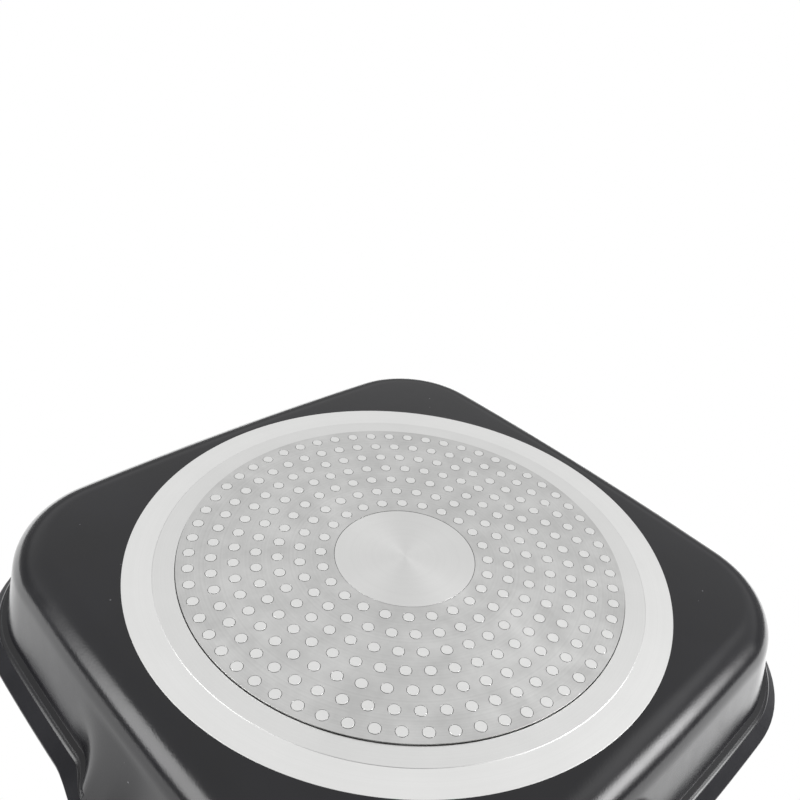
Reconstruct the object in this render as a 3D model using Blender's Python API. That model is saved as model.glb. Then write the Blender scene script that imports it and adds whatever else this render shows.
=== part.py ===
# Square grill pan, cast aluminium, with a perforated induction plate and a screwed handle.
# Metres, +Z up. The origin is the middle of the pan's base, on the plane that it rests on.
# The handle points along +X. The pouring lips are in the middle of the +Y and -Y sides.

import math

import bmesh
import bpy
from mathutils import Vector

# Clearance between pieces that touch
GAP = 0.0003

# Outline of the base, and how it opens towards the rim
BASE_HALF = 0.1102            # middle of the pan to the middle of a side, at the flat base
BASE_CORNER = 0.0302          # corner radius of the flat base
CORNER_GROWTH = 1.1           # corner radius gained for each unit of outward offset
SIDE_RADIUS = 1.49            # the sides bow outwards along arcs of this radius

# Wall and rim of the casting
BASE_FILLET = 0.0161          # outer radius from the base into the wall
DRAFT = math.radians(13.8)    # lean of the wall
LEDGE_HEIGHT = 0.0372         # underside of the lid seat
LEDGE_WIDTH = 0.0022
LIP_FLARE = 0.0061            # how far the lip runs out beyond the ledge
LIP_RISE = 0.0078             # from the ledge up to the lip's outer edge
LIP_ROLL = 0.0016             # rounding of the lip above its outer edge
WALL = 0.0034                 # casting thickness of the wall, the seat and the lip
BASE_THICKNESS = 0.0056       # resting plane to the cooking floor
INNER_FILLET = 0.0090

# Pouring lips
SPOUT_HALF = 0.0285           # half the width of the lip's flare
SPOUT_REACH = 0.0040          # how far the lip's edge moves out
SPOUT_BULGE = 0.0075          # how far the wall moves out under the ledge
SPOUT_START = 0.0150          # height at which the wall starts to move out
SPOUT_CURVE = 1.3             # 1 is a straight run outwards, more is a hollow one
SPOUT_SEAT = 0.2              # drop of the seat at a pouring lip, 1 being no drop

# Bare ring and induction plate. The plate and the middle of the casting carry the pan.
RING_PROUD = 0.0002           # the bare ring stands this far below the coated base
PLATE_PROUD = 0.0008          # the plate stands this far below the bare ring
RING_MARGIN = 0.0007          # ring's edge to the edge of the flat base
RING_WIDTH = 0.0192
PLATE_THICKNESS = 0.0015
DISC_RADIUS = 0.0289          # bare middle of the casting, seen through the plate
DOT_PITCH = 0.00854           # distance between rings of holes, and between holes in a ring
DOT_DIAMETER = 0.0047
DOT_EDGE = 0.0012             # least metal between a hole and the plate's edges
DOT_TURN = math.radians(25.6)  # first hole of each ring, from the handle's side
DOT_SIDES = 6

# Ribs of the cooking floor
RIB_PITCH = 0.0095
RIB_HEIGHT = 0.0030
RIB_FOOT = 0.0036
RIB_TOP = 0.0020
RIB_MARGIN = 0.0090           # channel between the ribs' ends and the wall's fillet
RIB_ROOT = 0.0010             # how deep a rib runs into the floor

# Handle: lengths run along its axis, from the pan's wall
HANDLE_DROP = 0.0037          # from the ledge down to where the axis meets the wall
HANDLE_TILT = math.radians(14.0)
HANDLE_WIDTH = 0.0300         # section of the boss, the guard and the grip's front
HANDLE_DEPTH = 0.0205
BOSS_LENGTH = 0.0180
BOSS_NECK_WIDTH = 0.0240      # section of the boss where it grows out of the wall, under the rim
BOSS_NECK_DEPTH = 0.0120
BOSS_SWELL = 2.5              # more keeps the neck slim for longer
TONGUE = 0.0080               # how far the boss and the grip reach into the guard
TONGUE_SPACE = 0.0140         # hollow left in the guard between the two tongues
GUARD_WALL = 0.0010
GRIP_LENGTH = 0.1500
WAIST_AT = 0.0480
WAIST_WIDTH = 0.0245
WAIST_DEPTH = 0.0175
BELLY_FROM_END = 0.0420
BELLY_WIDTH = 0.0320
BELLY_DEPTH = 0.0200
TAIL_WIDTH = 0.0290
TAIL_DEPTH = 0.0165
TAIL_ROUND = 0.0150           # length over which the grip's end rounds off
TAIL_PLAN = 0.5               # 0.5 is an elliptic end seen from above, less is a blunter one
TAIL_PROFILE = 0.25           # the same, seen from the side
EYE_LENGTH = 0.0230
EYE_WIDTH = 0.0105
EYE_WEB = 0.0085              # material between the eye and the grip's end

# Screw and washer
SCREW_DIAMETER = 0.0050
SCREW_SEAT = 0.0450           # the washer's seat, from the front of the grip
SCREW_BITE = 0.0160           # length of the screw inside the boss and its spigot
SCREW_CHAMFER = 0.0008
HEAD_DIAMETER = 0.0085
HEAD_LENGTH = 0.0050
SOCKET_ACROSS = 0.0040
SOCKET_DEPTH = 0.0025
WASHER_DIAMETER = 0.0084
WASHER_THICKNESS = 0.0012
WASHER_SLIT = 0.0008

# Facets
SIDE_STEPS = 14
SIDE_CROWDING = 0.35          # draws the outline's points in towards the pouring lips
CORNER_STEPS = 6
FILLET_STEPS = 5
WALL_ROWS = (0.4, 0.72, 1.0)  # levels up the outside of the wall, from fillet to ledge
INNER_ROWS = (0.35, 0.65)     # levels down the inside of the wall, from seat to fillet
FLARE_ROWS = ((0.0, 0.2), (0.5, 0.6))  # levels up the flare, plain and at a pouring lip
BOSS_ROWS = (0.05, 0.4, 0.75, 1.0)     # places along the boss, from the wall
GRIP_ROWS = 11
TAIL_ANGLES = (22, 42, 60, 74, 84)     # places round the grip's end, in degrees
OVAL_STEPS = 24
OVAL_POWER = 2.6              # 2 is an ellipse, more is a squarer section
ROUND_STEPS = 16
PLATE_STEPS = 72

# Sizes that follow from the ones above
BASE_HEIGHT = PLATE_PROUD + RING_PROUD
RING_RADIUS = BASE_HALF - RING_MARGIN
RECESS_RADIUS = RING_RADIUS - RING_WIDTH
PLATE_RADIUS = RECESS_RADIUS - GAP
RECESS_DEPTH = PLATE_THICKNESS + GAP
LIP_HEIGHT = LEDGE_HEIGHT + LIP_RISE
RIM_TOP = LIP_HEIGHT + LIP_ROLL
SEAT_HEIGHT = LEDGE_HEIGHT + WALL
SPOUT_SEAT_HEIGHT = LEDGE_HEIGHT + WALL * SPOUT_SEAT
INNER_FILLET_TOP = BASE_THICKNESS + INNER_FILLET * (1 - math.sin(DRAFT))
FILLET_END_OFFSET = BASE_FILLET * math.cos(DRAFT)
FILLET_END_HEIGHT = BASE_HEIGHT + BASE_FILLET * (1 - math.sin(DRAFT))
LIP_ANGLE = math.atan2(LIP_FLARE, LIP_RISE)
LEDGE_INSIDE = FILLET_END_OFFSET + (LEDGE_HEIGHT - FILLET_END_HEIGHT) * math.tan(DRAFT)
LEDGE_OFFSET = LEDGE_INSIDE + LEDGE_WIDTH
LIP_OFFSET = LEDGE_OFFSET + LIP_FLARE
SPOUT_RUN = LIP_OFFSET + SPOUT_REACH - LEDGE_INSIDE - SPOUT_BULGE
SPOUT_ANGLE = math.atan2(SPOUT_RUN, LIP_RISE)
HANDLE_HEIGHT = LEDGE_HEIGHT - HANDLE_DROP
GUARD_LENGTH = 2 * TONGUE + TONGUE_SPACE
GRIP_START = BOSS_LENGTH + GUARD_LENGTH + 2 * GAP
BELLY_AT = GRIP_LENGTH - BELLY_FROM_END
SCREW_TIP = BOSS_LENGTH + TONGUE - SCREW_BITE
SEAT_PLACE = GRIP_START + SCREW_SEAT
BORE_RADIUS = SCREW_DIAMETER / 2 + GAP
ACCESS_RADIUS = max(HEAD_DIAMETER, WASHER_DIAMETER) / 2 + 2 * GAP


def clear_scene():
    for item in list(bpy.data.objects):
        bpy.data.objects.remove(item)


def make_material(name, colour, roughness, metallic):
    material = bpy.data.materials.new(name)
    material.use_nodes = True
    shader = material.node_tree.nodes["Principled BSDF"]
    shader.inputs["Base Color"].default_value = (*colour, 1.0)
    shader.inputs["Roughness"].default_value = roughness
    shader.inputs["Metallic"].default_value = metallic
    return material


def add_object(name, points, faces, material=None, parent=None, sharp=40.0):
    mesh = bpy.data.meshes.new(name)
    mesh.from_pydata(points, [], faces)
    work = bmesh.new()
    work.from_mesh(mesh)
    bmesh.ops.recalc_face_normals(work, faces=work.faces)
    work.to_mesh(mesh)
    work.free()
    mesh.shade_smooth()
    mesh.set_sharp_from_angle(angle=math.radians(sharp))
    item = bpy.data.objects.new(name, mesh)
    bpy.context.collection.objects.link(item)
    item.parent = parent
    if material:
        mesh.materials.append(material)
    return item


def make_tool(item):
    item.hide_render = True
    item.display_type = "WIRE"
    return item


def cut_or_join(item, tool, operation):
    step = item.modifiers.new(tool.name, "BOOLEAN")
    step.operation = operation
    step.solver = "EXACT"
    step.object = make_tool(tool)


def loft(loops):
    """Closed skin through loops of equal length, with a flat face at each end."""
    count = len(loops[0])
    points = [point for loop in loops for point in loop]
    faces = [list(range(count))]
    for row in range(len(loops) - 1):
        for step in range(count):
            after = (step + 1) % count
            low, high = row * count, (row + 1) * count
            faces.append([low + step, low + after, high + after, high + step])
    faces.append(list(range(len(points) - count, len(points))))
    return points, faces


def closed_ring(loops):
    """Skin through loops of equal length, where the last one joins the first again."""
    points, faces = loft(loops + loops[:1])
    count = len(loops[0])
    kept = len(loops) * count
    return points[:kept], [[corner % kept for corner in face] for face in faces[1:-1]]


def lathe(profile, steps=ROUND_STEPS):
    """Turned solid about the X axis, from (distance, radius) pairs, closed at both ends."""
    loops = []
    for distance, radius in profile:
        turns = [2 * math.pi * step / steps for step in range(steps)]
        loops.append([(distance, radius * math.cos(a), radius * math.sin(a)) for a in turns])
    return loft(loops)


def smooth(value):
    value = min(1.0, max(0.0, value))
    return value * value * (3 - 2 * value)


# Outline of the pan at one level: four bowed sides joined by round corners
def outline(offset):
    half = BASE_HALF + offset
    corner = BASE_CORNER + CORNER_GROWTH * offset
    radius = SIDE_RADIUS + offset
    centre = half - radius
    corner_centre = (centre + math.sqrt(2 * (radius - corner) ** 2 - centre ** 2)) / 2
    end = math.atan2(corner_centre, corner_centre - centre)
    side = []
    for step in range(SIDE_STEPS):
        share = 2 * step / SIDE_STEPS - 1
        turn = end * share * (1 - SIDE_CROWDING * (1 - share * share))
        side.append((centre + radius * math.cos(turn), radius * math.sin(turn)))
    for step in range(CORNER_STEPS):
        turn = end + (math.pi / 2 - 2 * end) * step / CORNER_STEPS
        side.append((corner_centre + corner * math.cos(turn), corner_centre + corner * math.sin(turn)))
    points = []
    for quarter in range(4):
        c, s = round(math.cos(quarter * math.pi / 2)), round(math.sin(quarter * math.pi / 2))
        points += [(c * x - s * y, s * x + c * y) for x, y in side]
    return points


# One loop of the casting. In the middle of the +Y and -Y sides it blends over to the
# offset and height that a pouring lip has there.
def square_loop(offset, height, spout=None):
    spout_offset, spout_height = spout or (offset, height)
    loop = []
    for x, y in outline(offset):
        bell = 0.0
        if abs(x) < SPOUT_HALF:
            bell = math.cos(math.pi * x / (2 * SPOUT_HALF)) ** 2
        shift = math.copysign((spout_offset - offset) * bell, y)
        loop.append((x, y + shift, height + (spout_height - height) * bell))
    return loop


def round_loop(radius, height):
    loop = []
    for x, y in outline(0.0):
        length = math.hypot(x, y)
        loop.append((radius * x / length, radius * y / length, height))
    return loop


def wall_offset(height):
    return FILLET_END_OFFSET + (height - FILLET_END_HEIGHT) * math.tan(DRAFT)


def inner_offset(height):
    return wall_offset(height) - WALL / math.cos(DRAFT)


def spout_bulge(height):
    """How far a pouring lip's wall lies outside the plain wall, up to the ledge."""
    share = (height - SPOUT_START) / (LEDGE_HEIGHT - SPOUT_START)
    return SPOUT_BULGE * max(0.0, share) ** SPOUT_CURVE


def spout_line(height):
    """Offset of a pouring lip above the ledge: straight from the wall to the lip's edge."""
    return LEDGE_INSIDE + SPOUT_BULGE + (height - LEDGE_HEIGHT) * math.tan(SPOUT_ANGLE)


def inner_spout_line(height):
    return spout_line(height) - WALL / math.cos(SPOUT_ANGLE)


def wall_loop(offset, height):
    return square_loop(offset, height, (offset + spout_bulge(height), height))


def fillet_loops(radius, low, low_offset):
    """Loops round a fillet, from the flat to the wall's lean."""
    loops = []
    for step in range(FILLET_STEPS + 1):
        turn = (math.pi / 2 - DRAFT) * step / FILLET_STEPS
        height = low + radius * (1 - math.cos(turn))
        loops.append(square_loop(low_offset + radius * math.sin(turn), height))
    return loops


def outside_loops():
    loops = [round_loop(DISC_RADIUS, 0.0), round_loop(DISC_RADIUS, RECESS_DEPTH)]
    loops += [round_loop(RECESS_RADIUS, RECESS_DEPTH), round_loop(RECESS_RADIUS, PLATE_PROUD)]
    loops += [round_loop(RING_RADIUS, PLATE_PROUD), round_loop(RING_RADIUS, BASE_HEIGHT)]
    loops += fillet_loops(BASE_FILLET, BASE_HEIGHT, 0.0)
    for share in WALL_ROWS:
        height = FILLET_END_HEIGHT + (LEDGE_HEIGHT - FILLET_END_HEIGHT) * share
        loops.append(wall_loop(wall_offset(height), height))
    # The first level here is the ledge's outer edge, and the last one the lip's
    for share, spout_share in FLARE_ROWS + ((1.0, 1.0),):
        height = LEDGE_HEIGHT + LIP_RISE * share
        spout_height = LEDGE_HEIGHT + LIP_RISE * spout_share
        spout = (spout_line(spout_height), spout_height)
        loops.append(square_loop(LEDGE_OFFSET + LIP_FLARE * share, height, spout))
    for inset, height in ((0.0, (LIP_HEIGHT + RIM_TOP) / 2), (LIP_ROLL / 2, RIM_TOP)):
        offset = LIP_OFFSET - inset
        loops.append(square_loop(offset, height, (offset + SPOUT_REACH, height)))
    return loops


def inside_loops():
    # The lip and the seat keep the casting's thickness behind their outer faces
    lip_line = LEDGE_OFFSET - WALL / math.cos(LIP_ANGLE)
    loops = []
    for height in (RIM_TOP, (RIM_TOP + SEAT_HEIGHT) / 2, SEAT_HEIGHT):
        offset = lip_line + (height - LEDGE_HEIGHT) * math.tan(LIP_ANGLE)
        loops.append(square_loop(offset, height, (inner_spout_line(height), height)))
    spout = (inner_spout_line(SPOUT_SEAT_HEIGHT), SPOUT_SEAT_HEIGHT)
    loops.append(square_loop(inner_offset(SEAT_HEIGHT), SEAT_HEIGHT, spout))
    for share in INNER_ROWS:
        height = LEDGE_HEIGHT + (INNER_FILLET_TOP - LEDGE_HEIGHT) * share
        loops.append(wall_loop(inner_offset(height), height))
    fillet = fillet_loops(INNER_FILLET, BASE_THICKNESS, floor_offset())
    return loops + fillet[::-1]


def floor_offset():
    """Edge of the flat cooking floor, counted from the edge of the flat base."""
    return inner_offset(INNER_FILLET_TOP) - INNER_FILLET * math.cos(DRAFT)


def rib_reach(across):
    """Half length of a rib whose outer flank lies this far from the pan's middle."""
    half = BASE_HALF + floor_offset() - RIB_MARGIN
    corner = BASE_CORNER + CORNER_GROWTH * floor_offset() - RIB_MARGIN
    into_corner = across - (half - corner)
    if into_corner <= 0:
        return half
    return half - corner + math.sqrt(max(corner ** 2 - into_corner ** 2, 0.0))


def add_ribs():
    field = BASE_HALF + floor_offset() - RIB_MARGIN - RIB_FOOT / 2
    number = int(field / RIB_PITCH)
    low = BASE_THICKNESS - RIB_ROOT
    high = BASE_THICKNESS + RIB_HEIGHT
    points, faces = [], []
    for place in range(-number, number + 1):
        middle = place * RIB_PITCH
        reach = rib_reach(abs(middle) + RIB_FOOT / 2)
        slope = (RIB_FOOT - RIB_TOP) / 2
        flank = RIB_FOOT / 2
        foot = [(reach, flank), (-reach, flank), (-reach, -flank), (reach, -flank)]
        first = len(points)
        for height, shrink in ((low, 0.0), (BASE_THICKNESS, 0.0), (high, slope)):
            for x, y in foot:
                inward = math.copysign(shrink, x), math.copysign(shrink, y)
                points.append((x - inward[0], middle + y - inward[1], height))
        faces.append([first, first + 1, first + 2, first + 3])
        for level in (first, first + 4):
            for step in range(4):
                after = (step + 1) % 4
                faces.append([level + step, level + after, level + 4 + after, level + 4 + step])
        faces.append([first + 8, first + 9, first + 10, first + 11])
    return add_object("ribs_tool", points, faces)


# Rounded section across the handle, at a distance along its axis
def oval(distance, width, depth, lean=0.0):
    loop = []
    for step in range(OVAL_STEPS):
        turn = 2 * math.pi * step / OVAL_STEPS
        c, s = math.cos(turn), math.sin(turn)
        y = math.copysign(abs(c) ** (2 / OVAL_POWER), c) * width / 2
        z = math.copysign(abs(s) ** (2 / OVAL_POWER), s) * depth / 2
        loop.append((distance + z * lean, y, z))
    return loop


def spigot_oval(distance):
    inset = 2 * (GUARD_WALL + GAP)
    return oval(distance, HANDLE_WIDTH - inset, HANDLE_DEPTH - inset)


def add_boss(axis):
    lean = math.tan(DRAFT + HANDLE_TILT)
    loops = [oval(-WALL / 2, BOSS_NECK_WIDTH, BOSS_NECK_DEPTH, lean)]
    for share in BOSS_ROWS:
        swell = share ** BOSS_SWELL
        width = BOSS_NECK_WIDTH + (HANDLE_WIDTH - BOSS_NECK_WIDTH) * swell
        depth = BOSS_NECK_DEPTH + (HANDLE_DEPTH - BOSS_NECK_DEPTH) * swell
        loops.append(oval(BOSS_LENGTH * share, width, depth, lean * (1 - share)))
    loops += [spigot_oval(BOSS_LENGTH), spigot_oval(BOSS_LENGTH + TONGUE)]
    return add_object("boss_tool", *loft(loops), parent=axis)


def add_body(material, axis):
    body = add_object("pan_body", *loft(outside_loops() + inside_loops()), material)
    cut_or_join(body, add_ribs(), "UNION")
    cut_or_join(body, add_boss(axis), "UNION")
    hole_end = SCREW_TIP - 4 * GAP
    hole = [(hole_end, BORE_RADIUS), (BOSS_LENGTH + 2 * TONGUE, BORE_RADIUS)]
    cut_or_join(body, add_object("thread_tool", *lathe(hole), parent=axis), "DIFFERENCE")
    return body


def disc_loop(radius, height, steps):
    turns = [2 * math.pi * step / steps for step in range(steps)]
    return [(radius * math.cos(a), radius * math.sin(a), height) for a in turns]


def add_plate(material):
    corners = [(DISC_RADIUS + GAP, 0.0), (PLATE_RADIUS, 0.0)]
    corners += [(PLATE_RADIUS, PLATE_THICKNESS), (DISC_RADIUS + GAP, PLATE_THICKNESS)]
    loops = [disc_loop(radius, height, PLATE_STEPS) for radius, height in corners]
    plate = add_object("induction_plate", *closed_ring(loops), material)
    # Holes: ring number k has 6k holes at k pitches from the middle
    margin = DOT_DIAMETER / 2 + DOT_EDGE
    first = math.ceil((DISC_RADIUS + margin) / DOT_PITCH)
    last = math.floor((PLATE_RADIUS - margin) / DOT_PITCH)
    points, faces = [], []
    for ring in range(first, last + 1):
        for hole in range(6 * ring):
            turn = DOT_TURN + 2 * math.pi * hole / (6 * ring)
            x, y = ring * DOT_PITCH * math.cos(turn), ring * DOT_PITCH * math.sin(turn)
            ends = []
            for height in (-PLATE_THICKNESS, 2 * PLATE_THICKNESS):
                loop = disc_loop(DOT_DIAMETER / 2, height, DOT_SIDES)
                ends.append([(x + px, y + py, pz) for px, py, pz in loop])
            pin_points, pin_faces = loft(ends)
            faces += [[len(points) + corner for corner in face] for face in pin_faces]
            points += pin_points
    cut_or_join(plate, add_object("holes_tool", points, faces), "DIFFERENCE")
    return plate


def add_guard(material, axis):
    start = BOSS_LENGTH + GAP
    end = start + GUARD_LENGTH
    inner = (HANDLE_WIDTH - 2 * GUARD_WALL, HANDLE_DEPTH - 2 * GUARD_WALL)
    outer = (HANDLE_WIDTH, HANDLE_DEPTH)
    loops = [oval(start, *inner), oval(start, *outer), oval(end, *outer), oval(end, *inner)]
    return add_object("flame_guard", *closed_ring(loops), material, axis)


def grip_section(distance):
    """Width and depth of the grip at a distance from its front."""
    round_start = GRIP_LENGTH - TAIL_ROUND
    stations = [
        (0.0, HANDLE_WIDTH, HANDLE_DEPTH),
        (WAIST_AT, WAIST_WIDTH, WAIST_DEPTH),
        (BELLY_AT, BELLY_WIDTH, BELLY_DEPTH),
        (GRIP_LENGTH, TAIL_WIDTH, TAIL_DEPTH),
    ]
    for (x0, w0, d0), (x1, w1, d1) in zip(stations, stations[1:]):
        if distance <= x1:
            share = smooth((distance - x0) / (x1 - x0))
            width, depth = w0 + (w1 - w0) * share, d0 + (d1 - d0) * share
            break
    past = max(0.0, (distance - round_start) / TAIL_ROUND)
    left = max(1 - past ** 2, 0.0)
    return width * left ** TAIL_PLAN, depth * left ** TAIL_PROFILE


def add_grip(material, axis):
    loops = [spigot_oval(GRIP_START - TONGUE), spigot_oval(GRIP_START)]
    round_start = GRIP_LENGTH - TAIL_ROUND
    places = [round_start * step / GRIP_ROWS for step in range(GRIP_ROWS + 1)]
    places += [round_start + TAIL_ROUND * math.sin(math.radians(turn)) for turn in TAIL_ANGLES]
    for place in places:
        width, depth = grip_section(place)
        loops.append(oval(GRIP_START + place, width, depth))
    grip = add_object("handle_grip", *loft(loops), material, axis)
    # Hanging eye: a slot with round ends, cut from top to bottom
    eye_end = GRIP_START + GRIP_LENGTH - EYE_WEB
    eye_start = eye_end - EYE_LENGTH
    radius = EYE_WIDTH / 2
    slot = []
    half_steps = ROUND_STEPS // 2
    for centre, first in ((eye_end - radius, -math.pi / 2), (eye_start + radius, math.pi / 2)):
        for step in range(half_steps + 1):
            turn = first + math.pi * step / half_steps
            slot.append((centre + radius * math.cos(turn), radius * math.sin(turn)))
    low = [(x, y, -BELLY_DEPTH) for x, y in slot]
    high = [(x, y, BELLY_DEPTH) for x, y in slot]
    cut_or_join(grip, add_object("eye_tool", *loft([low, high]), parent=axis), "DIFFERENCE")
    # Bore for the screw, and the wider bore that its head goes down
    bore = [
        (GRIP_START - 2 * TONGUE, BORE_RADIUS),
        (SEAT_PLACE, BORE_RADIUS),
        (SEAT_PLACE, ACCESS_RADIUS),
        (eye_start + radius, ACCESS_RADIUS),
    ]
    cut_or_join(grip, add_object("bore_tool", *lathe(bore), parent=axis), "DIFFERENCE")
    return grip


def add_screw(material, axis):
    under_head = SEAT_PLACE + WASHER_THICKNESS + 2 * GAP
    shank = SCREW_DIAMETER / 2
    profile = [
        (SCREW_TIP, shank - SCREW_CHAMFER),
        (SCREW_TIP + SCREW_CHAMFER, shank),
        (under_head, shank),
        (under_head, HEAD_DIAMETER / 2),
        (under_head + HEAD_LENGTH, HEAD_DIAMETER / 2),
    ]
    screw = add_object("handle_screw", *lathe(profile), material, axis)
    across = SOCKET_ACROSS / math.sqrt(3)
    end = under_head + HEAD_LENGTH
    socket = [(end - SOCKET_DEPTH, across), (end + SOCKET_DEPTH, across)]
    cut_or_join(screw, add_object("socket_tool", *lathe(socket, 6), parent=axis), "DIFFERENCE")
    return screw


def add_washer(material, axis):
    start = SEAT_PLACE + GAP
    end = start + WASHER_THICKNESS
    inner, outer = BORE_RADIUS, WASHER_DIAMETER / 2
    # A split ring: it runs from one side of the slit round to the other
    slit = WASHER_SLIT / (inner + outer)
    loops = []
    for step in range(ROUND_STEPS + 1):
        turn = slit + (2 * math.pi - 2 * slit) * step / ROUND_STEPS
        c, s = math.cos(turn), math.sin(turn)
        corners = ((start, inner), (end, inner), (end, outer), (start, outer))
        loops.append([(x, r * c, r * s) for x, r in corners])
    return add_object("lock_washer", *loft(loops), material, axis, 30.0)


def build():
    clear_scene()
    coating = make_material("black_nonstick_coating", (0.035, 0.035, 0.038), 0.42, 0.0)
    steel = make_material("brushed_stainless_steel", (0.62, 0.62, 0.61), 0.32, 1.0)
    guard_steel = make_material("polished_stainless_steel", (0.60, 0.60, 0.60), 0.22, 1.0)
    phenolic = make_material("black_phenolic", (0.020, 0.020, 0.021), 0.38, 0.0)
    zinc = make_material("zinc_plated_steel", (0.58, 0.58, 0.60), 0.35, 1.0)
    spring = make_material("spring_steel", (0.33, 0.33, 0.34), 0.38, 1.0)

    axis = bpy.data.objects.new("handle_axis", None)
    bpy.context.collection.objects.link(axis)
    axis.location = Vector((BASE_HALF + wall_offset(HANDLE_HEIGHT), 0.0, HANDLE_HEIGHT))
    axis.rotation_euler = (0.0, -HANDLE_TILT, 0.0)

    add_body(coating, axis)
    add_plate(steel)
    add_guard(guard_steel, axis)
    add_grip(phenolic, axis)
    add_screw(zinc, axis)
    add_washer(spring, axis)
    bpy.context.view_layer.update()


build()
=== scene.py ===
import math

import bmesh
import bpy
import numpy as np
from mathutils import Matrix, Vector, geometry


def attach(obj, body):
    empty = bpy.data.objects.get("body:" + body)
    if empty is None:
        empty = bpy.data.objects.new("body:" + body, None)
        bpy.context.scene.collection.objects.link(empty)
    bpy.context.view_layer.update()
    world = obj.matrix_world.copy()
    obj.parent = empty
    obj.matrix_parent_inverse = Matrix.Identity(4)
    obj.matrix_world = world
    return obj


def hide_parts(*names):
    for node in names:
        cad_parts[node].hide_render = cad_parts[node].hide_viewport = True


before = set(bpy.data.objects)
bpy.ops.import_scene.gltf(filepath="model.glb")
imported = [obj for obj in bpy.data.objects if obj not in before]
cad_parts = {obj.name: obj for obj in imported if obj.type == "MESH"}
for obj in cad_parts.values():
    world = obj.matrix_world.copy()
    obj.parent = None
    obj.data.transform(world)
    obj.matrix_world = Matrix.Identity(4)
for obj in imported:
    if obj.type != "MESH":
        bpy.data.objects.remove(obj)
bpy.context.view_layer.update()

# Square cast grill pan, seen from below. Metres, +Z up, handle along +X, pouring lips at +Y and -Y.
mm = 0.001


# Node trees and colours

def hexColour(code):
    # sRGB hex to linear: the low part is a straight line, the rest a 2.4 power
    values = np.array([int(code[i:i + 2], 16) for i in (1, 3, 5)]) / 255
    linear = np.where(values <= 0.04045, values / 12.92, ((values + 0.055) / 1.055) ** 2.4)
    return (*linear.tolist(), 1.0)


def feed(node, inputs):
    # inputs in order, or by name or number: an output of another node is linked, a hex code is a colour
    for socket, value in (inputs if isinstance(inputs, dict) else dict(enumerate(inputs))).items():
        if isinstance(value, bpy.types.NodeSocket):
            node.id_data.links.new(value, node.inputs[socket])
        else:
            node.inputs[socket].default_value = hexColour(value) if isinstance(value, str) else value


def addNode(tree, kind, inputs=(), output=0, **settings):
    # one node with its settings and inputs, which hands on one of its outputs
    node = tree.nodes.new("ShaderNode" + kind)
    for name, value in settings.items():
        setattr(node, name, value)
    feed(node, inputs)
    return node.outputs[output]


def newMaterial(name):
    material = bpy.data.materials.new(name)
    material.use_nodes = True
    tree = material.node_tree
    return material, tree, tree.nodes["Principled BSDF"], addNode(tree, "TexCoord", output="Object")


def grainAt(tree, place, size, detail=3.0, roughness=0.5, stretch=(1.0, 1.0, 1.0)):
    # grain of a finish: fractal noise whose features are about size metres across
    scaled = addNode(tree, "Mapping", {"Vector": place, "Scale": stretch})
    inputs = {"Vector": scaled, "Scale": 1.0 / size, "Detail": detail, "Roughness": roughness}
    return addNode(tree, "TexNoise", inputs)


def radiusAndSpoke(tree, place):
    # distance from the pan's axis, and the direction away from it. As a finish's tangent the spokes draw its
    # highlights out into a bright fan, as the fine rings of a lathe's tool do
    flat = addNode(tree, "VectorMath", [place, (1, 1, 0)], operation="MULTIPLY")
    radius = addNode(tree, "VectorMath", [flat], "Value", operation="LENGTH")
    return radius, addNode(tree, "VectorMath", [flat], operation="NORMALIZE")


# Finishes

def makeCoating(name, dark, pale, smooth, rough, specular):
    # PTFE non-stick coating, sprayed and baked on cast aluminium: near black, satin, with the spray's
    # orange peel, sparse pale mineral specks and a few rubbed places
    material, tree, shader, place = newMaterial(name)
    cloud = addNode(tree, "MapRange", [grainAt(tree, place, 45 * mm), 0.35, 0.65])
    colour = addNode(tree, "Mix", {0: cloud, 6: dark, 7: pale}, 2, data_type="RGBA")
    # one speck in each 5.5 mm cell, kept only where a slower noise is high
    cells = addNode(tree, "TexVoronoi", {"Vector": place, "Scale": 1 / (5.5 * mm)}, "Distance")
    speck = addNode(tree, "MapRange", [cells, 0.045, 0.07, 1.0, 0.0])
    some = addNode(tree, "MapRange", [grainAt(tree, place, 14 * mm, 2), 0.57, 0.63])
    speck = addNode(tree, "Math", [speck, some], operation="MULTIPLY")
    colour = addNode(tree, "Mix", {0: speck, 6: colour, 7: "#5e5e61"}, 2, data_type="RGBA")
    rubbed = addNode(tree, "MapRange", [grainAt(tree, place, 9 * mm, 4), 0.3, 0.7, smooth, rough])
    # orange peel, 0.8 mm from crest to crest, over a casting that isn't quite flat
    peel = grainAt(tree, place, 0.8 * mm, 3, 0.6)
    wave = addNode(tree, "Math", [grainAt(tree, place, 24 * mm, 2), 4.0], operation="MULTIPLY")
    height = addNode(tree, "Math", [peel, wave], operation="ADD")
    bump = addNode(tree, "Bump", {"Height": height, "Distance": 0.03 * mm})
    feed(shader, {"Base Color": colour, "Roughness": rubbed, "Normal": bump, "IOR": 1.45,
                  "Specular IOR Level": specular})
    return material


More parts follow.
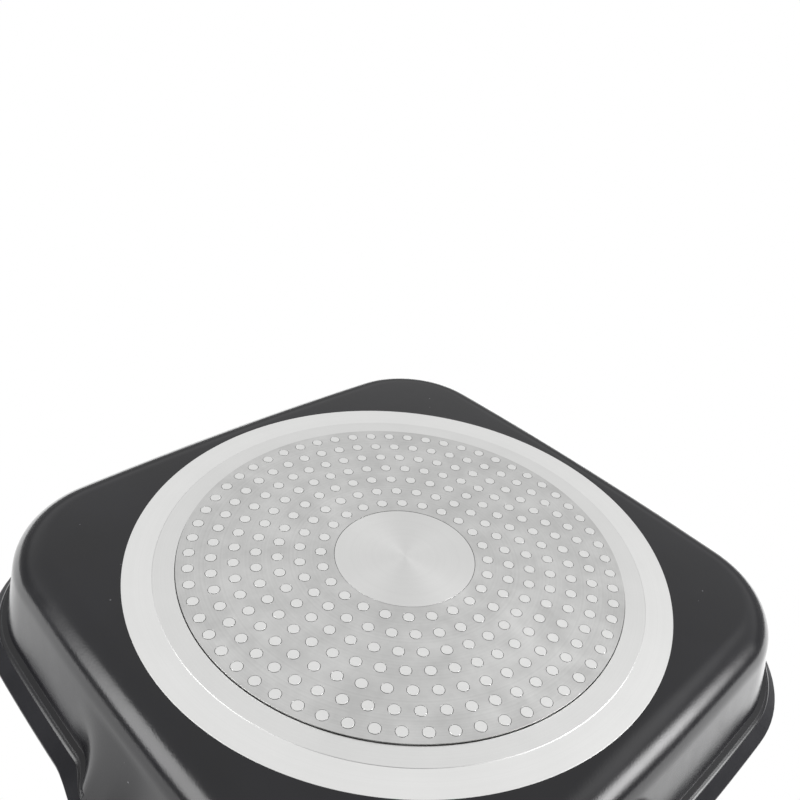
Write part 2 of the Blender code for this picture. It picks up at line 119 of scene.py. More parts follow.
def makeTurnedAluminium(name, pitch, roughness, anisotropy, pale, dull):
    # bare die-cast aluminium, faced on a lathe: pale, with fine rings and a bright fan across the middle.
    # The tool's own rings, 0.1 to 0.2 mm apart, are too fine to show, so they are drawn coarser
    material, tree, shader, place = newMaterial(name)
    radius, spoke = radiusAndSpoke(tree, place)
    ringPlace = addNode(tree, "CombineXYZ", [radius])
    fine = addNode(tree, "Math", [grainAt(tree, ringPlace, pitch, 2), 0.6], operation="MULTIPLY")
    broad = addNode(tree, "Math", [grainAt(tree, ringPlace, 6 * pitch, 2), 0.4], operation="MULTIPLY")
    rings = addNode(tree, "Math", [fine, broad], operation="ADD")
    cloud = addNode(tree, "Math", [grainAt(tree, place, 22 * mm), 0.6], operation="MULTIPLY")
    share = addNode(tree, "Math", [rings, cloud], operation="ADD")
    share = addNode(tree, "MapRange", [share, 0.55, 1.05])
    colour = addNode(tree, "Mix", {0: share, 6: dull, 7: pale}, 2, data_type="RGBA")
    bump = addNode(tree, "Bump", {"Height": rings, "Distance": 0.003 * mm})
    feed(shader, {"Base Color": colour, "Metallic": 1.0, "Roughness": roughness, "Normal": bump,
                  "Anisotropic": anisotropy, "Tangent": spoke})
    return material


def makePerforatedSteel():
    # AISI 430 stainless sheet, pressed into the base and faced with it: greyer than the aluminium, with
    # finger smudges and a trace of the lathe's rings, drawn at 0.8 mm because finer ones don't show
    material, tree, shader, place = newMaterial("facedStainlessSheet")
    radius, spoke = radiusAndSpoke(tree, place)
    rings = grainAt(tree, addNode(tree, "CombineXYZ", [radius]), 0.8 * mm)
    smudge = grainAt(tree, place, 18 * mm, 5, 0.6)
    share = addNode(tree, "Math", [rings, 0.6], operation="MULTIPLY")
    share = addNode(tree, "Math", [smudge, 1.8, share], operation="MULTIPLY_ADD")
    share = addNode(tree, "MapRange", [share, 0.9, 1.5])
    colour = addNode(tree, "Mix", {0: share, 6: "#c6c6c5", 7: "#dadad9"}, 2, data_type="RGBA")
    dulled = addNode(tree, "MapRange", [smudge, 0.35, 0.65, 0.32, 0.42])
    bump = addNode(tree, "Bump", {"Height": rings, "Distance": 0.003 * mm})
    feed(shader, {"Base Color": colour, "Metallic": 1.0, "Roughness": dulled, "Normal": bump,
                  "Anisotropic": 0.5, "Tangent": spoke})
    return material


def makeBrushedSteel():
    # drawn stainless tube, brushed along its length: fine straight lines and a soft long highlight. The
    # grit's own lines, about 0.1 mm wide, are too fine to show, so they are drawn at 0.35 mm
    material, tree, shader, place = newMaterial("brushedStainlessTube")
    turned = addNode(tree, "Mapping", {"Vector": place, "Rotation": (0.0, handle["tilt"], 0.0)})
    lines = grainAt(tree, turned, 0.35 * mm, 3, 0.6, (0.02, 1.0, 1.0))
    share = addNode(tree, "MapRange", [lines, 0.3, 0.7])
    colour = addNode(tree, "Mix", {0: share, 6: "#c4c4c3", 7: "#dadad9"}, 2, data_type="RGBA")
    sheen = addNode(tree, "MapRange", [lines, 0.3, 0.7, 0.22, 0.34])
    bump = addNode(tree, "Bump", {"Height": lines, "Distance": 0.004 * mm})
    feed(shader, {"Base Color": colour, "Metallic": 1.0, "Roughness": sheen, "Normal": bump,
                  "Anisotropic": 0.5})
    return material


def makePhenolic():
    # phenolic resin, compression moulded with wood flour: black, satin, faintly mottled
    material, tree, shader, place = newMaterial("mouldedPhenolic")
    mottle = addNode(tree, "MapRange", [grainAt(tree, place, 2.2 * mm, 4, 0.6), 0.35, 0.7])
    colour = addNode(tree, "Mix", {0: mottle, 6: "#161617", 7: "#1e1e1f"}, 2, data_type="RGBA")
    sheen = addNode(tree, "MapRange", [grainAt(tree, place, 12 * mm, 4), 0.3, 0.7, 0.34, 0.5])
    bump = addNode(tree, "Bump", {"Height": grainAt(tree, place, 0.35 * mm, 2), "Distance": 0.006 * mm})
    feed(shader, {"Base Color": colour, "Roughness": sheen, "Normal": bump, "IOR": 1.6})
    return material


def makeFastenerSteel(name, roughness, blotchSize, dull, pale):
    # zinc from a plating barrel is pale and slightly blotchy; rolled and oiled spring steel is dark grey
    # with a dull sheen
    material, tree, shader, place = newMaterial(name)
    blotch = addNode(tree, "MapRange", [grainAt(tree, place, blotchSize), 0.3, 0.7])
    colour = addNode(tree, "Mix", {0: blotch, 6: dull, 7: pale}, 2, data_type="RGBA")
    feed(shader, {"Base Color": colour, "Metallic": 1.0, "Roughness": roughness})
    return material


# Surfaces

def gridFaces(rows, columns, closed=True, first=0):
    # quads between neighbouring rows and columns of a grid; closed joins the last column to the first
    row = np.arange(rows - 1)[:, None] * columns
    column = np.arange(columns if closed else columns - 1)[None, :]
    after = (column + 1) % columns
    corners = [row + column, row + after, row + columns + after, row + columns + column]
    return first + np.stack(corners, axis=-1).reshape(-1, 4)


def closedSkin(rows, first=0):
    # faces between rows of points, with a cap on the first row and on the last
    count, columns = rows.shape[:2]
    caps = first + np.arange(columns) + np.array([[0], [(count - 1) * columns]])
    return gridFaces(count, columns, True, first).tolist() + caps.tolist()


def fullTurn(count):
    return np.linspace(0, 2 * math.pi, count, endpoint=False)


def addObject(name, data):
    made = bpy.data.objects.new(name, data)
    bpy.context.scene.collection.objects.link(made)
    return made


def addMesh(name, points, faces):
    mesh = bpy.data.meshes.new(name)
    mesh.from_pydata(np.asarray(points).reshape(-1, 3).tolist(), [], [list(face) for face in faces])
    return addObject(name, mesh)


def addPiece(name, points, faces, materials, sharp):
    # mesh object from points and faces, merged, closed and facing out, riding on the pan
    piece = addMesh(name, points, faces)
    mesh = piece.data
    tidyMesh(mesh)
    for material in materials:
        mesh.materials.append(material)
    mesh.shade_smooth()
    mesh.set_sharp_from_angle(angle=math.radians(sharp))
    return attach(piece, "root")


def tidyMesh(mesh):
    # points less than 2 thousandths of a millimetre apart become one, and faces turn outwards
    work = bmesh.new()
    work.from_mesh(mesh)
    bmesh.ops.remove_doubles(work, verts=work.verts, dist=0.002 * mm)
    bmesh.ops.recalc_face_normals(work, faces=work.faces)
    work.to_mesh(mesh)
    work.free()


def roundedPath(corners, steps):
    # path through corners given as (offset, height, radius): each corner becomes an arc of that radius,
    # swept from one tangent point to the other in equal steps
    corners = np.array(corners, float)
    spots, radii = corners[:, :2], corners[1:-1, 2]
    before, after = spots[:-2] - spots[1:-1], spots[2:] - spots[1:-1]
    before /= np.linalg.norm(before, axis=1, keepdims=True)
    after /= np.linalg.norm(after, axis=1, keepdims=True)
    half = np.arccos(np.clip((before * after).sum(1), -1, 1)) / 2
    inward = before + after
    inward /= np.maximum(np.linalg.norm(inward, axis=1, keepdims=True), 1e-9)
    centre = spots[1:-1] + inward * (radii / np.sin(half))[:, None]
    reach = (radii / np.tan(half))[:, None]
    start, end = spots[1:-1] + before * reach - centre, spots[1:-1] + after * reach - centre
    sweep = (math.pi - 2 * half)[:, None, None]
    share = np.linspace(0, 1, steps + 1)[None, :, None]
    safe = np.maximum(np.sin(sweep), 1e-9)
    arcs = (np.sin((1 - share) * sweep) * start[:, None] + np.sin(share * sweep) * end[:, None]) / safe
    arcs = (arcs + centre[:, None]).reshape(-1, 2)
    return np.vstack([spots[:1], arcs, spots[-1:]])


# Outline and section of the pan

pan = dict(
    baseHalf=110.2 * mm, baseCorner=30.2 * mm, cornerGrowth=1.1, sideRadius=1490 * mm,
    footProud=1.0 * mm, fillet=16.1 * mm, draft=math.radians(13.8), wall=3.4 * mm,
    ledgeHeight=37.2 * mm, ledgeWidth=2.2 * mm, lipFlare=6.1 * mm, lipRise=6.5 * mm, lipRoll=2.9 * mm,
    floor=5.6 * mm, innerFillet=9.0 * mm,
    spoutHalf=28.5 * mm, spoutReach=4.0 * mm, spoutBulge=7.5 * mm, spoutStart=15 * mm, spoutCurve=1.15,
    spoutSeat=0.2, sideSteps=72, cornerSteps=22, crowding=0.35, filletRows=19, wallRows=14, innerRows=11,
    wallEnd=1.6 * mm, innerEnd=2.5 * mm,
)
pan["filletEnd"] = pan["footProud"] + pan["fillet"] * (1 - math.sin(pan["draft"]))
pan["ledgeInside"] = (pan["fillet"] * math.cos(pan["draft"])
                      + (pan["ledgeHeight"] - pan["filletEnd"]) * math.tan(pan["draft"]))
pan["ledgeEdge"] = pan["ledgeInside"] + pan["ledgeWidth"]
pan["lipHeight"] = pan["ledgeHeight"] + pan["lipRise"]
pan["lipEdge"] = pan["ledgeEdge"] + pan["lipFlare"]
pan["rimTop"] = pan["lipHeight"] + pan["lipRoll"]
pan["seat"] = pan["ledgeHeight"] + pan["wall"]
pan["inset"] = pan["wall"] / math.cos(pan["draft"])
pan["floorTop"] = pan["floor"] + pan["innerFillet"] * (1 - math.sin(pan["draft"]))


def wallOffset(height):
    # the wall leans outwards by the draft, above the fillet
    return pan["fillet"] * math.cos(pan["draft"]) + (height - pan["filletEnd"]) * math.tan(pan["draft"])


def floorEdge():
    # offset of the cooking floor's flat edge, where the inner fillet starts
    return wallOffset(pan["floorTop"]) - pan["inset"] - pan["innerFillet"] * math.cos(pan["draft"])


def spoutBulge(height):
    # a pouring lip's wall swells with a power of the height above its start
    share = (height - pan["spoutStart"]) / (pan["ledgeHeight"] - pan["spoutStart"])
    return pan["spoutBulge"] * np.maximum(0, share) ** pan["spoutCurve"]


def outlineAt(offset):
    # four bowed sides joined by round corners, one row of points for each offset from the flat base
    offset = np.atleast_1d(offset).astype(float)[:, None]
    half, radius = pan["baseHalf"] + offset, pan["sideRadius"] + offset
    corner = pan["baseCorner"] + pan["cornerGrowth"] * offset
    centre = half - radius
    cornerCentre = (centre + np.sqrt(2 * (radius - corner) ** 2 - centre ** 2)) / 2
    end = np.arctan2(cornerCentre, cornerCentre - centre)
    share = np.linspace(-1, 1, pan["sideSteps"], endpoint=False)[None]
    sideTurn = end * share * (1 - pan["crowding"] * (1 - share ** 2))
    cornerTurn = end + (math.pi / 2 - 2 * end) * np.linspace(0, 1, pan["cornerSteps"], endpoint=False)[None]
    x = np.hstack([centre + radius * np.cos(sideTurn), cornerCentre + corner * np.cos(cornerTurn)])
    y = np.hstack([radius * np.sin(sideTurn), cornerCentre + corner * np.sin(cornerTurn)])
    return np.hstack([x, -y, -x, y]), np.hstack([y, x, -y, -x])


def squareRows(plain, spout, crisp):
    # rows of points round the pan; at a pouring lip the section blends over by a squared cosine where
    # crisp is 0, and by a shorter smooth step where it is 1
    x, y = outlineAt(plain[:, 0])
    wide = np.where(np.abs(x) < pan["spoutHalf"], np.cos(math.pi * x / (2 * pan["spoutHalf"])) ** 2, 0)
    share = np.clip((rim["spoutEdge"] - np.abs(x)) / (rim["spoutEdge"] - rim["spoutFlat"]), 0, 1)
    bell = wide + (share ** 2 * (3 - 2 * share) - wide) * crisp[:, None]
    y = y + np.sign(y) * (spout[:, 0] - plain[:, 0])[:, None] * bell
    z = plain[:, 1][:, None] + (spout[:, 1] - plain[:, 1])[:, None] * bell
    return np.stack([x, y, z], axis=-1)


def roundRows(profile):
    # rows of points on circles, at the same turns as the square outline's points
    x, y = outlineAt(0.0)
    length = np.hypot(x, y)
    radius, height = profile[:, 0][:, None], profile[:, 1][:, None]
    return np.stack([radius * x / length, radius * y / length, height + 0 * x], axis=-1)


# Rim section, from the wall outwards: ledge, small step up, rounded edge, lip
rim = dict(
    ledgeFillet=0.12 * mm, stepAt=2.1 * mm, stepRun=0.08 * mm, stepRise=0.4 * mm, stepEdge=0.12 * mm,
    stepRoot=0.12 * mm, edgeAt=3.3 * mm, edgeRise=0.92 * mm, edgeRound=2.9 * mm, lipRound=1.0 * mm,
    topRound=0.75 * mm, seatFillet=1.2 * mm, seatEdge=1.0 * mm, steps=6, lipFrom=1.75 * mm, lipFacing=-0.3,
    spoutFlat=4 * mm, spoutEdge=20 * mm, spoutUnder=0.25 * mm, spoutMarks=(0.12, 0.16, 0.24),
    spoutRounds=(0.05 * mm, 0.05 * mm, 0.87 * mm), spoutSeatRounds=(0.3 * mm, 0.5 * mm),
)


def panSection(spout):
    # (offset, height) down the whole section, from the flat base over the rim to the cooking floor;
    # spout is 0 on a plain side and 1 in the middle of a pouring lip, with the same number of rows
    ledge, rise, lip = pan["ledgeHeight"], pan["lipRise"], pan["lipHeight"]
    lineRun = pan["lipEdge"] + pan["spoutReach"] - pan["ledgeInside"] - pan["spoutBulge"]
    lean = math.atan2(lineRun, pan["lipRise"])

    def fillet(start, base, radius, turn):
        # out by the sine of the turn, up by one minus its cosine
        return np.stack([start + radius * np.sin(turn), base + radius * (1 - np.cos(turn))], 1)

    def wall(first, last, inset):
        heights = np.linspace(first, last, pan["wallRows"])[1:]
        return np.stack([wallOffset(heights) - inset + spout * spoutBulge(heights), heights], 1)

    def onLine(height, inset=0.0):
        # a pouring lip's outside runs straight from the wall to the lip's edge
        run = (height - pan["ledgeHeight"]) * math.tan(lean)
        return pan["ledgeInside"] + pan["spoutBulge"] + run - inset / math.cos(lean)

    turn = np.linspace(0, math.pi / 2 - pan["draft"], pan["filletRows"])
    rows = [fillet(0, pan["footProud"], pan["fillet"], turn)]
    rows.append(wall(pan["filletEnd"], ledge - pan["wallEnd"], 0))
    first = (*rows[1][-1].tolist(), 0)
    step = pan["ledgeInside"] + rim["stepAt"]
    if spout:
        # points of the straight run stand in for the corners of the ledge and its step
        under = ledge - rim["spoutUnder"]
        wallTop = (onLine(under), under, rim["ledgeFillet"])
        levels = [ledge + rise * share for share in rim["spoutMarks"]]
        outer = [(onLine(level), level, radius) for level, radius in zip(levels, rim["spoutRounds"])]
        outer.append((onLine(lip), lip, rim["lipRound"]))
        reach = pan["spoutReach"]
    else:
        wallTop = (pan["ledgeInside"], ledge, rim["ledgeFillet"])
        outer = [
            (step, ledge, rim["stepEdge"]),
            (step + rim["stepRun"], ledge + rim["stepRise"], rim["stepRoot"]),
            (pan["ledgeInside"] + rim["edgeAt"], ledge + rim["edgeRise"], rim["edgeRound"]),
            (pan["lipEdge"], lip, rim["lipRound"]),
        ]
        reach = 0.0
    flare = math.atan2(pan["lipFlare"], pan["lipRise"])
    innerLine = pan["ledgeEdge"] - pan["wall"] / math.cos(flare)
    rimInner = innerLine + (pan["rimTop"] - ledge) * math.tan(flare)
    seatOuter = innerLine + (pan["seat"] - ledge) * math.tan(flare)
    seatInner = wallOffset(pan["seat"]) - pan["inset"]
    if spout:
        levels = (pan["rimTop"], pan["seat"], ledge + pan["wall"] * pan["spoutSeat"])
        rounds = (rim["topRound"], *rim["spoutSeatRounds"])
        inner = [(onLine(level, pan["wall"]), level, radius) for level, radius in zip(levels, rounds)]
    else:
        inner = [
            (rimInner, pan["rimTop"], rim["topRound"]),
            (seatOuter, pan["seat"], rim["seatFillet"]),
            (seatInner, pan["seat"], rim["seatEdge"]),
        ]
    top = [(pan["lipEdge"] + reach, pan["rimTop"], rim["topRound"])]
    innerTop = ledge - pan["innerEnd"]
    last = (float(wallOffset(innerTop) - pan["inset"] + spout * spoutBulge(innerTop)), innerTop, 0)
    rows.append(roundedPath([first, wallTop, *outer, *top, *inner, last], rim["steps"])[1:])
    rows.append(wall(innerTop, pan["floorTop"], pan["inset"]))
    turn = np.linspace(math.pi / 2 - pan["draft"], 0, pan["innerRows"])[1:]
    rows.append(fillet(floorEdge(), pan["floor"], pan["innerFillet"], turn))
    return np.vstack(rows)


# Base, ribs and handle lug

foot = dict(
    radius=109.5 * mm, step=98.5 * mm, stepDrop=0.12 * mm, stepWidth=0.2 * mm, inner=90.3 * mm,
    chamfer=0.12 * mm, recess=1.8 * mm, disc=28.65 * mm, ring=0.76 * mm, discFace=0.12 * mm,
    discGap=0.17 * mm, pole=0.01 * mm, seam=0.02 * mm, broken=0.03 * mm, innerBroken=0.06 * mm, back=1.7 * mm,
    innerLand=(92 * mm, 97 * mm, 3), outerLand=(100 * mm, 108 * mm, 4),
)
ribs = dict(
    pitch=9.5 * mm, height=3.0 * mm, foot=3.6 * mm, top=2.0 * mm, margin=9.0 * mm, root=0.55 * mm,
    crown=0.75 * mm, runOut=4.5 * mm, columns=56, steps=5, past=1.0 * mm,
)
handle = dict(
    drop=3.7 * mm, tilt=math.radians(14), width=30 * mm, depth=20.5 * mm, boss=18 * mm, gap=0.3 * mm,
    guard=30 * mm, guardWall=1.0 * mm, guardRoll=0.7 * mm, guardSwell=0.12 * mm, tongue=8 * mm, power=2.6,
    neckWidth=24 * mm, neckDepth=12 * mm, swell=2.5, lugFillet=0.9 * mm, lugRoll=0.5 * mm, lugRoot=0.6 * mm,
    grip=150 * mm, waistAt=48 * mm, waistWidth=24.5 * mm, waistDepth=17.5 * mm, bellyFromEnd=42 * mm,
    bellyWidth=32 * mm, bellyDepth=20 * mm, tailWidth=29 * mm, tailDepth=16.5 * mm, tailRound=15 * mm,
    tailPlan=0.5, tailProfile=0.25, collar=((0.0, 0.75 * mm), (0.12 * mm, 0.35 * mm), (0.4 * mm, 0.1 * mm)),
    gripFrom=0.8 * mm, eyeLength=23 * mm, eyeWidth=10.5 * mm, eyeWeb=8.5 * mm, eyeRound=1.6 * mm, eyeArc=80,
    eyePast=(2.0 * mm, 2.2 * mm), bore=9.7 * mm, boreFrom=60 * mm,
)
handle["height"] = pan["ledgeHeight"] - handle["drop"]
handle["start"] = pan["baseHalf"] + wallOffset(handle["height"])
handle["gripStart"] = handle["boss"] + handle["guard"] + 2 * handle["gap"]


def ribReach(across):
    # half length of a rib whose outer flank lies this far from the middle: it stops short of the corner
    half = pan["baseHalf"] + floorEdge() - ribs["margin"]
    corner = pan["baseCorner"] + pan["cornerGrowth"] * floorEdge() - ribs["margin"]
    into = np.maximum(across - (half - corner), 0)
    return half - corner + np.sqrt(np.maximum(corner ** 2 - into ** 2, 0))


def ribbedFloor():
    # grid of the floor: one rounded rib section repeated across, each rib dying away at its ends
    half = ribs["pitch"] / 2
    flank, crown, high = ribs["foot"] / 2, ribs["top"] / 2, ribs["height"]
    corners = [(-half, 0, 0), (-flank, 0, ribs["root"]), (-crown, high, ribs["crown"]),
               (crown, high, ribs["crown"]), (flank, 0, ribs["root"]), (half, 0, 0)]
    section = roundedPath(corners, ribs["steps"])
    field = pan["baseHalf"] + floorEdge() - ribs["margin"] - flank
    number = int(field / ribs["pitch"])
    middle = np.arange(-number, number + 1) * ribs["pitch"]
    y = (middle[:, None] + section[None, :, 0]).ravel()
    lift = np.tile(section[:, 1], len(middle))
    reach = np.repeat(ribReach(np.abs(middle) + flank), len(section))
    share = np.linspace(-1, 1, ribs["columns"] + 1)
    x = np.sin(share * math.pi / 2)[None, :] * (reach[:, None] + ribs["past"])
    inside = np.clip((reach[:, None] - np.abs(x)) / ribs["runOut"], 0, 1)
    fade = np.sqrt(1 - (1 - inside) ** 2)
    z = pan["floor"] + lift[:, None] * fade
    return np.stack([x, np.repeat(y[:, None], x.shape[1], 1), z], -1)


def addFloor(points, faces, lastRow):
    # the ribbed grid, and the flat channel between it and the wall's fillet
    grid = ribbedFloor()
    rows, columns = grid.shape[:2]
    start = sum(len(p) for p in points)
    points.append(grid.reshape(-1, 3))
    faces += gridFaces(rows, columns, False, start).tolist()
    near, far = np.arange(columns), (rows - 1) * columns + np.arange(columns - 2, -1, -1)
    right, left = np.arange(1, rows) * columns + columns - 1, np.arange(rows - 2, 0, -1) * columns
    edge = np.concatenate([near, right, far, left])
    flat, triangles = bandBetween(lastRow[:, :2], points[-1][edge][:, :2])
    start = sum(len(p) for p in points)
    points.append(np.column_stack([flat, np.full(len(flat), pan["floor"])]))
    faces += (start + triangles).tolist()


def triangulate(loops, least):
    # Delaunay triangles on both sides of closed loops of flat points, with every loop's edges kept
    starts = np.cumsum([0] + [len(loop) for loop in loops])
    links = [(a + i, a + (i + 1) % (b - a)) for a, b in zip(starts, starts[1:]) for i in range(b - a)]
    spots = [Vector(spot) for spot in np.vstack(loops).tolist()]
    made = geometry.delaunay_2d_cdt(spots, links, [], 0, least)
    return np.array([tuple(v) for v in made[0]]), np.array([f for f in made[2] if len(f) == 3])


def bandBetween(outer, hole):
    # triangles that lie inside the outer loop and outside the hole
    flat, triangles = triangulate([outer, hole], 1e-7)
    middle = flat[triangles].mean(1)
    return flat, triangles[insideLoop(middle, outer) & ~insideLoop(middle, hole)]


def insideLoop(spots, loop):
    # even-odd count of the loop's edges to the right of each spot
    ax, ay = loop[:, 0][None], loop[:, 1][None]
    bx, by = np.roll(loop[:, 0], -1)[None], np.roll(loop[:, 1], -1)[None]
    x, y = spots[:, :1], spots[:, 1:]
    crosses = (ay > y) != (by > y)
    with np.errstate(divide="ignore", invalid="ignore"):
        at = ax + (y - ay) * (bx - ax) / (by - ay)
    return (crosses & (x < at)).sum(1) % 2 == 1


def superOval(count):
    # unit oval between an ellipse and a rectangle: cosine and sine of the turn, to 2 over the handle's power
    c, s, power = np.cos(fullTurn(count)), np.sin(fullTurn(count)), 2 / handle["power"]
    return np.sign(c) * np.abs(c) ** power, np.sign(s) * np.abs(s) ** power


def ovalNormals(y, z, width, depth):
    # gradient of the oval's own formula
    power = handle["power"] - 1
    ny = np.sign(y) * np.abs(2 * y / width) ** power / width
    nz = np.sign(z) * np.abs(2 * z / depth) ** power / depth
    length = np.hypot(ny, nz)
    return ny / length, nz / length


def alongHandle(distance, side, up):
    # from handle measures, along, across and above its axis, to places on the pan
    c, s = math.cos(handle["tilt"]), math.sin(handle["tilt"])
    x = handle["start"] + distance * c - up * s
    z = handle["height"] + distance * s + up * c
    return np.stack(np.broadcast_arrays(x, side, z), -1)


def wallDistance(side, up):
    # where a line along the handle's axis meets the bowed wall or the fillet under it, found by steps
    c, s, fillet = math.cos(handle["tilt"]), math.sin(handle["tilt"]), pan["fillet"]
    distance = 0 * side
    for _ in range(12):
        height = handle["height"] + distance * s + up * c
        under = np.sqrt(np.maximum(fillet ** 2 - np.maximum(fillet + pan["footProud"] - height, 0) ** 2, 0))
        offset = np.where(height < pan["filletEnd"], under, wallOffset(height))
        x = pan["baseHalf"] + offset - side ** 2 / (2 * pan["sideRadius"])
        distance = (x - handle["start"] + up * s) / c
    return distance


def handleLug():
    # lug cast with the pan: a slim neck under the rim that swells to the sleeve's section, then a spigot
    y, z = superOval(96)
    neckSide, neckUp = y * handle["neckWidth"] / 2, z * handle["neckDepth"] / 2
    side, up = y * handle["width"] / 2, z * handle["depth"] / 2
    ny, nz = ovalNormals(neckSide, neckUp, handle["neckWidth"], handle["neckDepth"])
    radius, end, roll = handle["lugFillet"], handle["boss"], handle["lugRoll"]
    rows = []
    # fillet from the wall to the neck, its first row just inside the wall
    for turn in np.radians([90, 75, 60, 45, 30, 15, 0]):
        spread = radius * (1 - math.cos(turn))
        across, above = neckSide + ny * spread, neckUp + nz * spread
        rows.append(alongHandle(wallDistance(across, above) + radius * (1 - math.sin(turn)), across, above))
    rows.insert(0, rows[0] - np.array([handle["lugRoot"], 0, 0]))
    first = wallDistance(neckSide, neckUp) + radius
    for share in np.linspace(0.1, 0.9, 9):
        grown = share ** handle["swell"]
        across, above = neckSide + (side - neckSide) * grown, neckUp + (up - neckUp) * grown
        rows.append(alongHandle(first + (end - first) * share, across, above))
    ny, nz = ovalNormals(side, up, handle["width"], handle["depth"])
    inset = handle["guardWall"] + handle["gap"]
    for distance, shrink in ((end - roll, 0), (end - 0.3 * roll, 0.3 * roll), (end, roll), (end, inset),
                             (end + handle["tongue"], inset)):
        rows.append(alongHandle(distance, side - ny * shrink, up - nz * shrink))
    return np.array(rows)


def buildPanBody(coating, lipShadeCoating):
    plain, spout = panSection(0), panSection(1)
    # the pouring lip starts ever more sharply up the wall, and most so from the ledge to the rounded edge,
    # which are the path's first four corners
    crisp = np.zeros(len(plain))
    start, end = pan["filletRows"], pan["filletRows"] + pan["wallRows"] - 1
    crisp[start:end] = np.linspace(0, 1, end - start) ** 2
    crisp[end:end + 4 * (rim["steps"] + 1)] = 1
    square = squareRows(plain, spout, crisp)
    deep, side, base, broken = foot["recess"], foot["radius"], pan["footProud"], foot["broken"]
    middle = np.array([(foot["pole"], deep), (foot["inner"], deep), (side - foot["seam"], deep),
                       (side, base + broken), (side + broken, base)])
    shell = np.concatenate([roundRows(middle), square])
    rows, columns = shell.shape[:2]
    points = [shell.reshape(-1, 3)]
    faces = gridFaces(rows, columns).tolist() + [list(range(columns))]
    addFloor(points, faces, square[-1])
    lug = handleLug()
    start = sum(len(p) for p in points)
    points.append(lug.reshape(-1, 3))
    faces += closedSkin(lug, start)
    body = addPiece("panCasting", np.vstack(points), faces, [coating, lipShadeCoating], 35)
    # the lip's outside, beyond the rounded edge, faces down and takes the copy of the coating with painted
    # shade
    lipHeight = pan["ledgeHeight"] + rim["lipFrom"]
    for face in body.data.polygons:
        face.material_index = int(face.normal.z < rim["lipFacing"] and face.center.z > lipHeight)
    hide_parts("pan_body")
    print("pan casting:", len(body.data.polygons), "faces")


# Bare metal of the base

plate = dict(
    pitch=8.54 * mm, hole=4.7 * mm, turn=math.radians(25.6), margin=1.2 * mm, thickness=1.5 * mm,
    gap=0.3 * mm, edge=0.012 * mm, face=0.05 * mm, dotGap=0.17 * mm, dotEdge=0.015 * mm, dotDepth=0.6 * mm,
    holeSides=32, innerSides=144, outerSides=288,
)


def turnedRows(profile, steps):
    # rows of points on circles about the pan's axis, one for each (radius, height) of the profile
    profile = np.array(profile, float)
    turn = fullTurn(steps)[None]
    x, y = profile[:, :1] * np.cos(turn), profile[:, :1] * np.sin(turn)
    return np.stack([x, y, profile[:, 1:] + 0 * x], -1)


def turnedPiece(name, profile, materials, steps, sharp):
    # closed profile turned about the pan's axis
    points = turnedRows(profile + profile[:1], steps)
    return addPiece(name, points, gridFaces(len(points), steps), materials, sharp)


def buildFootRing(innerMetal, outerMetal):
    # flat bare foot: an inner land and an outer one that lies a little deeper, with a sloping step between
    c, low, r, width = foot["chamfer"], foot["ring"], foot["radius"], foot["stepWidth"]
    high = low + foot["stepDrop"]
    inner, back, broken = foot["inner"], foot["back"], foot["innerBroken"]
    profile = [(inner, back), (inner, low + broken), (inner + broken, low)]
    profile += [(x, low) for x in np.linspace(*foot["innerLand"])]
    profile += [(foot["step"] - width / 2, low), (foot["step"] + width / 2, high)]
    profile += [(x, high) for x in np.linspace(*foot["outerLand"])]
    profile += [(r - c, high), (r - 0.3 * c, high + 0.3 * c), (r, high + c), (r, back)]
    ring = turnedPiece("footRing", profile, [innerMetal, outerMetal], 360, 12)
    for face in ring.data.polygons:
        face.material_index = int(face.center.xy.length > foot["step"])


def buildDisc(metal):
    # flat disc with a broken edge
    r, low, back, pole, broken = (foot[key] for key in ("disc", "discFace", "back", "pole", "broken"))
    profile = [(pole, back), (pole, low)] + [(r * share, low) for share in (0.25, 0.5, 0.75)]
    profile += [(r - broken, low), (r, low + broken), (r, back)]
    turnedPiece("centreDisc", profile, [metal], 180, 30)


def holePlaces():
    # ring number k has 6k holes at k pitches from the middle
    first = math.ceil((foot["disc"] + plate["hole"] / 2 + plate["margin"]) / plate["pitch"])
    last = math.floor((foot["inner"] - plate["hole"] / 2 - plate["margin"]) / plate["pitch"])
    number = np.concatenate([np.full(6 * k, k) for k in range(first, last + 1)])
    step = np.concatenate([np.arange(6 * k) for k in range(first, last + 1)])
    turn = plate["turn"] + 2 * math.pi * step / (6 * number)
    radius = number * plate["pitch"]
    return np.stack([radius * np.cos(turn), radius * np.sin(turn)], 1)


def buildDots(metal):
    # casting squeezed up into the plate's holes: low pins with a broken edge, flush with the plate
    centres = holePlaces()
    r, edge, sides = plate["hole"] / 2 - plate["dotGap"], plate["dotEdge"], plate["holeSides"]
    pin = turnedRows([(r - edge, 0.0), (r, edge), (r, plate["dotDepth"])], sides).reshape(-1, 3)
    points = pin[None] + np.column_stack([centres, np.zeros(len(centres))])[:, None]
    start = np.arange(len(centres))[:, None] * len(pin)
    faces = (gridFaces(3, sides)[None] + start[:, None]).reshape(-1, 4).tolist()
    caps = start + np.arange(sides)[None]
    faces += caps.tolist() + (caps + 2 * sides).tolist()
    addPiece("plateDots", points, faces, [metal], 30)


